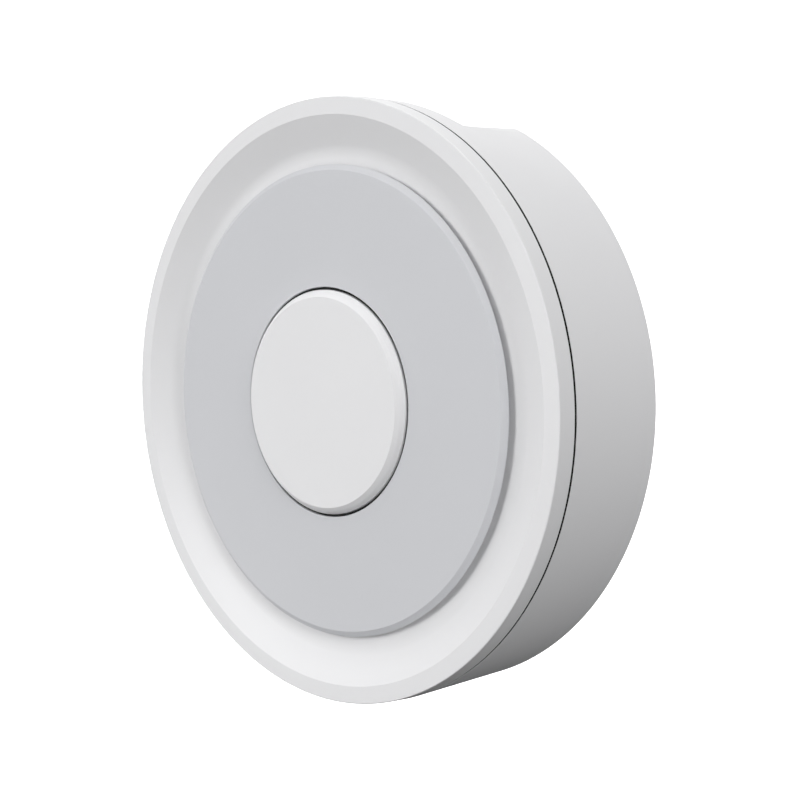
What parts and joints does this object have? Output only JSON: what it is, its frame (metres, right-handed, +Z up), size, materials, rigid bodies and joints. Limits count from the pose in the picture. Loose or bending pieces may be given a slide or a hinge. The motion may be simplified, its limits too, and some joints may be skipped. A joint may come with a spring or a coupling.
{
  "type": "heat detector",
  "caption": "Round wall or ceiling heat detector: deep casing on a twist-on mounting plate, floating front disc over a ring-shaped air inlet, and a large central test button.",
  "frame": {"origin": "centre of the mounting plate's back face, on the wall", "axes": "+Y points into the wall, so the front faces -Y; +Z is up with the flat of the rear casing on top; +X is to the right of someone facing the front"},
  "size_m": [0.12, 0.0292, 0.12],
  "materials": {
    "housing_white": "fine matt moulded white plastic",
    "disc_grey": "fine matt moulded light grey plastic",
    "plate_white": "matt moulded white plastic, unpainted",
    "seal_black": "matt black rubber",
    "clear_acrylic": "clear polished acrylic",
    "smoked_acrylic": "dark smoked acrylic",
    "board_green": "green solder resist on glass-fibre board",
    "black_plastic": "black moulded plastic",
    "steel": "plated steel",
    "brass": "rolled brass sheet",
    "copper": "enamelled copper",
    "ceramic_white": "silvered ceramic",
    "cell_wrap": "shrink sleeve",
    "glass_bead": "dark glass bead"
  },
  "bodies": {
    "wall_plate": {"mounting_plate": "plate_white"},
    "head": {"rear_housing": "housing_white", "front_cover": "housing_white", "seam_seal": "seal_black", "front_disc": "disc_grey", "button_spring": "steel", "light_guide": "smoked_acrylic", "sounder_chamber": "black_plastic", "sounder_plate": "brass", "sounder_ceramic": "ceramic_white", "sounder_contact_centre": "steel", "sounder_contact_edge": "steel", "lithium_cell": "cell_wrap", "cell_cradle": "black_plastic", "cell_tab_positive": "steel", "cell_tab_negative": "steel", "circuit_board": "board_green", "microcontroller": "black_plastic", "radio_chip": "black_plastic", "sounder_driver": "black_plastic", "radio_shield": "steel", "radio_antenna": "copper", "crystal": "steel", "boost_inductor": "copper", "sounder_transformer": "copper", "reservoir_capacitor": "black_plastic", "filter_capacitor": "black_plastic", "status_light": "clear_acrylic", "tact_switch": "black_plastic", "thermistor": "glass_bead", "thermistor_sleeve": "seal_black", "case_screw_1": "steel", "case_screw_2": "steel", "case_screw_3": "steel", "board_screw_1": "steel", "board_screw_2": "steel", "board_screw_3": "steel", "disc_screw_1": "steel", "disc_screw_2": "steel", "disc_screw_3": "steel"},
    "button": {"test_button": "housing_white"},
    "switch_plunger": {"switch_plunger": "black_plastic"}
  },
  "joints": [
    {"name": "head_twist", "type": "hinge", "parent": "wall_plate", "child": "head", "pos_m": [0, 0, 0], "axis": [0, -1, 0], "range_deg": [0, 16]},
    {"name": "test_button_press", "type": "slide", "parent": "head", "child": "button", "axis": [0, 1, 0], "range_m": [0, 0.0008], "stiffness_N_per_m": 1500, "springref_m": -0.001, "deforming": ["button_spring"]},
    {"name": "switch_plunger_travel", "type": "slide", "parent": "head", "child": "switch_plunger", "axis": [0, 1, 0], "range_m": [0, 0.001]}
  ],
  "couplings": [
    {"joint": "switch_plunger_travel", "follows": "test_button_press", "ratio": 1}
  ]
}
